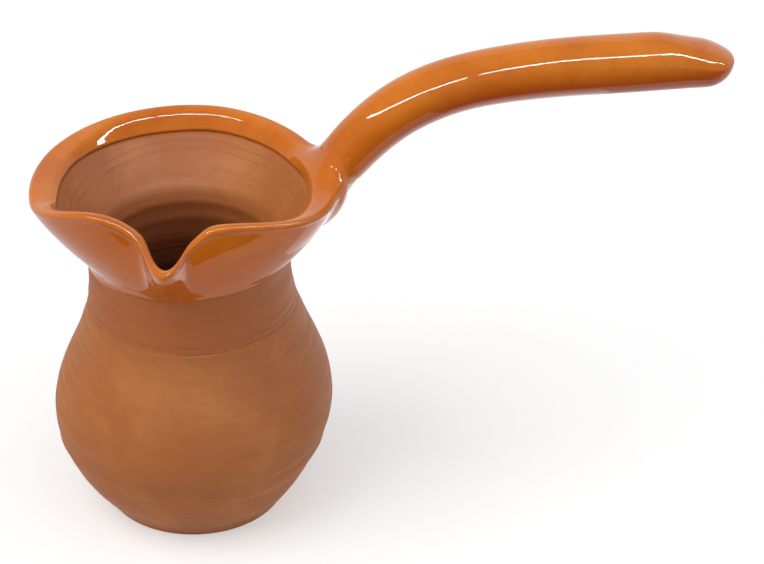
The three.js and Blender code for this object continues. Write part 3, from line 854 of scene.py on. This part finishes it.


# Honey glaze, glossy, with slow pools of deeper colour, undersides darker and redder by painted
# shade, most of all under the handle, a browner line where it thins out over the clay, faint
# orange peel and a few pinholes
def makeHoneyGlaze():
    f = glazeFinish
    material, tree = newMaterial("honeyGlaze")
    shader = tree.nodes["Principled BSDF"]
    place = addNode(tree, "ShaderNodeTexCoord").outputs["Object"]
    fromEdge = addNode(tree, "ShaderNodeAttribute", {"attribute_name": "fromEdge"}).outputs["Fac"]
    pool = noiseOf(tree, place, 42, 4, 0.55, 0.6)
    haze = noiseOf(tree, place, 190, 4, 0.6, 0.4)
    peel = noiseOf(tree, place, 520, 2, 0.5)
    swell = noiseOf(tree, place, 130, 2, 0.5, 0.3)

    tone = mixOf(tree, rangeOf(tree, pool, 0.3, 0.62, 0.55, 0), f["honey"], f["deep"])
    tone = mixOf(tree, rangeOf(tree, pool, 0.52, 0.8, 0, 0.5), tone, f["bright"])
    tone = mixOf(tree, rangeOf(tree, haze, 0.5, 0.75, 0, 0.28), tone, f["deep"])
    # painted shade: faces turn darker and redder the more they look down, half as much on the
    # collar as on the handle
    facing = addNode(tree, "ShaderNodeNewGeometry").outputs["Normal"]
    facing = addNode(tree, "ShaderNodeSeparateXYZ", {}, {0: facing}).outputs["Z"]
    alongX = addNode(tree, "ShaderNodeSeparateXYZ", {}, {0: place}).outputs["X"]
    onHandle = rangeOf(tree, alongX, *f["handleFrom"], 0.5, 1)
    under = mathOf(tree, "MULTIPLY", rangeOf(tree, facing, -0.65, 0.6, 1, 0), onHandle)
    tone = mixOf(tree, under, tone, f["under"])
    uneven = mathOf(tree, "ADD", fromEdge, aboutZero(tree, haze, 1.1))
    edge = rangeOf(tree, uneven, 0.1, 1.05, 0.8, 0)
    tone = mixOf(tree, edge, tone, f["edge"])
    holes = addNode(tree, "ShaderNodeTexVoronoi", {}, {"Vector": place, "Scale": 260})
    pick = addNode(tree, "ShaderNodeSeparateColor", {}, {0: holes.outputs["Color"]})
    pinhole = mathOf(
        tree, "MULTIPLY", rangeOf(tree, holes.outputs["Distance"], 0.045, 0.085, 1, 0),
        rangeOf(tree, pick.outputs[0], 0.94, 0.96),
    )
    tone = mixOf(tree, mathOf(tree, "MULTIPLY", pinhole, 0.7), tone, f["edge"])
    tree.links.new(tone, shader.inputs["Base Color"])
    roughness = rangeOf(tree, haze, 0.35, 0.8, *f["roughness"])
    tree.links.new(roughness, shader.inputs["Roughness"])
    shader.inputs["IOR"].default_value = 1.45
    shader.inputs["Specular IOR Level"].default_value = 0.38

    normal = bumpOf(tree, swell, f["rippleDepth"])
    normal = bumpOf(tree, peel, f["peelDepth"], normal)
    normal = bumpOf(tree, mathOf(tree, "MULTIPLY", pinhole, -1.0), f["pinholeDepth"], normal)
    tree.links.new(normal, shader.inputs["Normal"])
    return material


bareClay = makeBareClay()
honeyGlaze = makeHoneyGlaze()
print("finishes made")
makeClayBody(bareClay)
makeCollarGlaze(honeyGlaze)
makeHandleGlaze(honeyGlaze)
for name in ("handle", "luting_wad"):  # these stay as they are, under the glaze
    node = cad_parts[name]
    node.data.materials.clear()
    node.data.materials.append(bareClay)
print("pot, collar and handle made")

stageSizes = {
    "floor": 0.68, "floorGlow": 0.42, "floorHalf": 6.0, "wallRadius": 3.2, "wallHeight": 0.8,
    "backRise": 3.4, "wall": 0.5, "wallGlow": 0.7, "wallSides": 96, "world": 0.5,
    "flagCorners": (
        (0.12, -0.05, 0.002), (0.38, -0.09, 0.002), (0.12, -0.2, 0.002), (0.34, -0.27, 0.002),
        (-0.12, -0.12, 0.002), (0.085, -0.14, 0.002), (0.34, -0.27, 0.002),
        (-0.3, -0.4, 0.36), (0, -0.55, 0.36), (0.28, -0.62, 0.36),
    ),
    "flagFaces": ((0, 1, 3, 2), (4, 5, 8, 7), (5, 6, 9, 8)),
}
lampSizes = {
    "turn": -16,  # sides are counted from the camera, which is turned this far from +Y
    "keyStrength": 1.4, "keySide": 205, "keyUp": 52, "keyAngle": 50,
    "fillStrength": 0.5, "fillSide": 320, "fillUp": 62, "fillAngle": 70,
    "stripReach": 1.3, "stripWidth": 3, "stripGlow": 45,
    "strips": (  # each a row of sides and heights
        ((205, 50), (299.5, 50)),
        ((303, 50), (325, 49.5), (340, 46.5), (352, 45), (364, 39.4), (368, 33), (371, 27)),
    ),
    "stripParts": 48,
    "patch": ((0.078, -0.02), (0.15, -0.03), (0.16, 0.1), (0.082, 0.1)),
    "patchHeight": 0.002, "patchGlow": 1.7,
}


# Shade of the stage: a plain reflecting colour, with a glow that only the camera, glossy
# and clear surfaces see
def makeStageShade(name, colour, glow):
    material, tree = newMaterial(name)
    tree.nodes.remove(tree.nodes["Principled BSDF"])
    matte = addNode(tree, "ShaderNodeBsdfDiffuse", {}, {"Color": (colour, colour, colour, 1)})
    path = addNode(tree, "ShaderNodeLightPath").outputs
    seen = mathOf(tree, "ADD", path["Is Camera Ray"], path["Is Glossy Ray"])
    seen = mathOf(tree, "ADD", seen, path["Is Transmission Ray"])
    glowing = addNode(tree, "ShaderNodeEmission", {}, {
        "Color": (1, 1, 1, 1), "Strength": mathOf(tree, "MULTIPLY", seen, glow),
    })
    both = addNode(tree, "ShaderNodeAddShader", {}, {0: matte.outputs[0], 1: glowing.outputs[0]})
    tree.links.new(both.outputs[0], tree.nodes["Material Output"].inputs["Surface"])
    return material


def addStage(name, vertices, faces, material):
    mesh = bpy.data.meshes.new(name)
    mesh.from_pydata(vertices, [], faces)
    mesh.materials.append(material)
    made = bpy.data.objects.new(name, mesh)
    bpy.context.scene.collection.objects.link(made)
    return made


# White floor, and a white wall on a circle round it that rises behind the pot by the square
# of the cosine of the angle from straight behind
def makeStage():
    s = stageSizes
    half, sides = s["floorHalf"], s["wallSides"]
    corners = [(-half, -half, 0), (half, -half, 0), (half, half, 0), (-half, half, 0)]
    floorShade = makeStageShade("floorShade", s["floor"], s["floorGlow"])
    addStage("floor", corners, [(0, 1, 2, 3)], floorShade)
    turn = np.linspace(0, 2 * math.pi, sides, endpoint=False)
    ring = np.stack([np.cos(turn), np.sin(turn)], -1) * s["wallRadius"]
    low = [(x, y, 0.0) for x, y in ring]
    back = fromCamera(90, 0)[:2]
    behind = np.clip(ring @ back / s["wallRadius"], 0, 1) ** 2
    high = [(x, y, s["wallHeight"] + s["backRise"] * rise) for (x, y), rise in zip(ring, behind)]
    faces = [(i, sides + i, sides + (i + 1) % sides, (i + 1) % sides) for i in range(sides)]
    addStage("wall", low + high, faces, makeStageShade("wallShade", s["wall"], s["wallGlow"]))


def onlyInGlaze(made):
    made.visible_camera = False
    made.visible_diffuse = False
    made.visible_shadow = False


# Dark cards: one lies before the handle, and one leans away in front of pot and handle
def addFlags():
    material, tree = newMaterial("flagShade")
    tree.nodes["Principled BSDF"].inputs["Base Color"].default_value = (0, 0, 0, 1)
    onlyInGlaze(addStage("flag", stageSizes["flagCorners"], stageSizes["flagFaces"], material))


# Direction by the compass of the camera: 0 to its right, 90 away from it
def fromCamera(side, up):
    side, up = math.radians(side + lampSizes["turn"]), math.radians(up)
    return np.array([math.cos(up) * math.cos(side), math.cos(up) * math.sin(side), math.sin(up)])


# Broad soft light from a side and height, which no glaze shows
def addSun(name, strength, side, up, angle):
    light = bpy.data.lights.new(name, "SUN")
    light.energy = strength
    light.angle = math.radians(angle)
    lamp = bpy.data.objects.new(name, light)
    bpy.context.scene.collection.objects.link(lamp)
    x, y, z = fromCamera(side, up)
    lamp.rotation_euler = (math.acos(z), 0, math.atan2(y, x) + math.pi / 2)
    lamp.visible_glossy = False


def makeGlow(name, strength):
    material, tree = newMaterial(name)
    tree.nodes.remove(tree.nodes["Principled BSDF"])
    glow = addNode(tree, "ShaderNodeEmission", {}, {"Strength": strength})
    tree.links.new(glow.outputs[0], tree.nodes["Material Output"].inputs["Surface"])
    return material


# Bright patch of the table under and behind the handle, for the right edge of the collar
def addPatch():
    l = lampSizes
    corners = [(x, y, l["patchHeight"]) for x, y in l["patch"]]
    glow = makeGlow("patchGlow", l["patchGlow"])
    onlyInGlaze(addStage("patch", corners, [(0, 1, 2, 3)], glow))


# Long tubes overhead, seen only in the glaze: bands on a ball round the pot, each along its
# row of sides and heights with half its width on either side
def addStrips():
    l = lampSizes
    parts = l["stripParts"]
    glow = makeGlow("stripLight", l["stripGlow"])
    for k, row in enumerate(l["strips"]):
        along = np.linspace(0, len(row) - 1, parts)
        sides = np.interp(along, range(len(row)), [side for side, up in row])
        ups = np.interp(along, range(len(row)), [up for side, up in row])
        middle = np.array([fromCamera(side, up) for side, up in zip(sides, ups)])
        across = np.cross(np.gradient(middle, axis=0), middle)
        across *= math.radians(l["stripWidth"] / 2) / np.linalg.norm(across, axis=1)[:, None]
        points = l["stripReach"] * np.concatenate([middle + across, middle - across])
        faces = [(i, i + 1, parts + i + 1, parts + i) for i in range(parts - 1)]
        onlyInGlaze(addStage(f"strip{k}", points.tolist(), faces, glow))


def makeLight():
    l = lampSizes
    world = bpy.data.worlds.new("room")
    bpy.context.scene.world = world
    world.use_nodes = True
    world.node_tree.nodes["Background"].inputs["Color"].default_value = (1, 1, 1, 1)
    world.node_tree.nodes["Background"].inputs["Strength"].default_value = stageSizes["world"]
    addSun("keyLight", l["keyStrength"], l["keySide"], l["keyUp"], l["keyAngle"])
    addSun("fillLight", l["fillStrength"], l["fillSide"], l["fillUp"], l["fillAngle"])
    addStrips()
    addPatch()


makeStage()
addFlags()
makeLight()

cameraSizes = {"place": (-0.2119, -0.9399, 0.7082), "down": 56.5, "turn": -16, "lens": 188.48}
cameraData = bpy.data.cameras.new("camera")
cameraData.sensor_width = 36
cameraData.lens = cameraSizes["lens"]
camera = bpy.data.objects.new("camera", cameraData)
camera.location = cameraSizes["place"]
camera.rotation_euler = (
    math.radians(cameraSizes["down"]), 0, math.radians(cameraSizes["turn"])
)
bpy.context.scene.collection.objects.link(camera)
bpy.context.scene.camera = camera
bpy.context.scene.view_settings.view_transform = "Standard"
print("stage, lights and camera made")

bpy.context.view_layer.update()
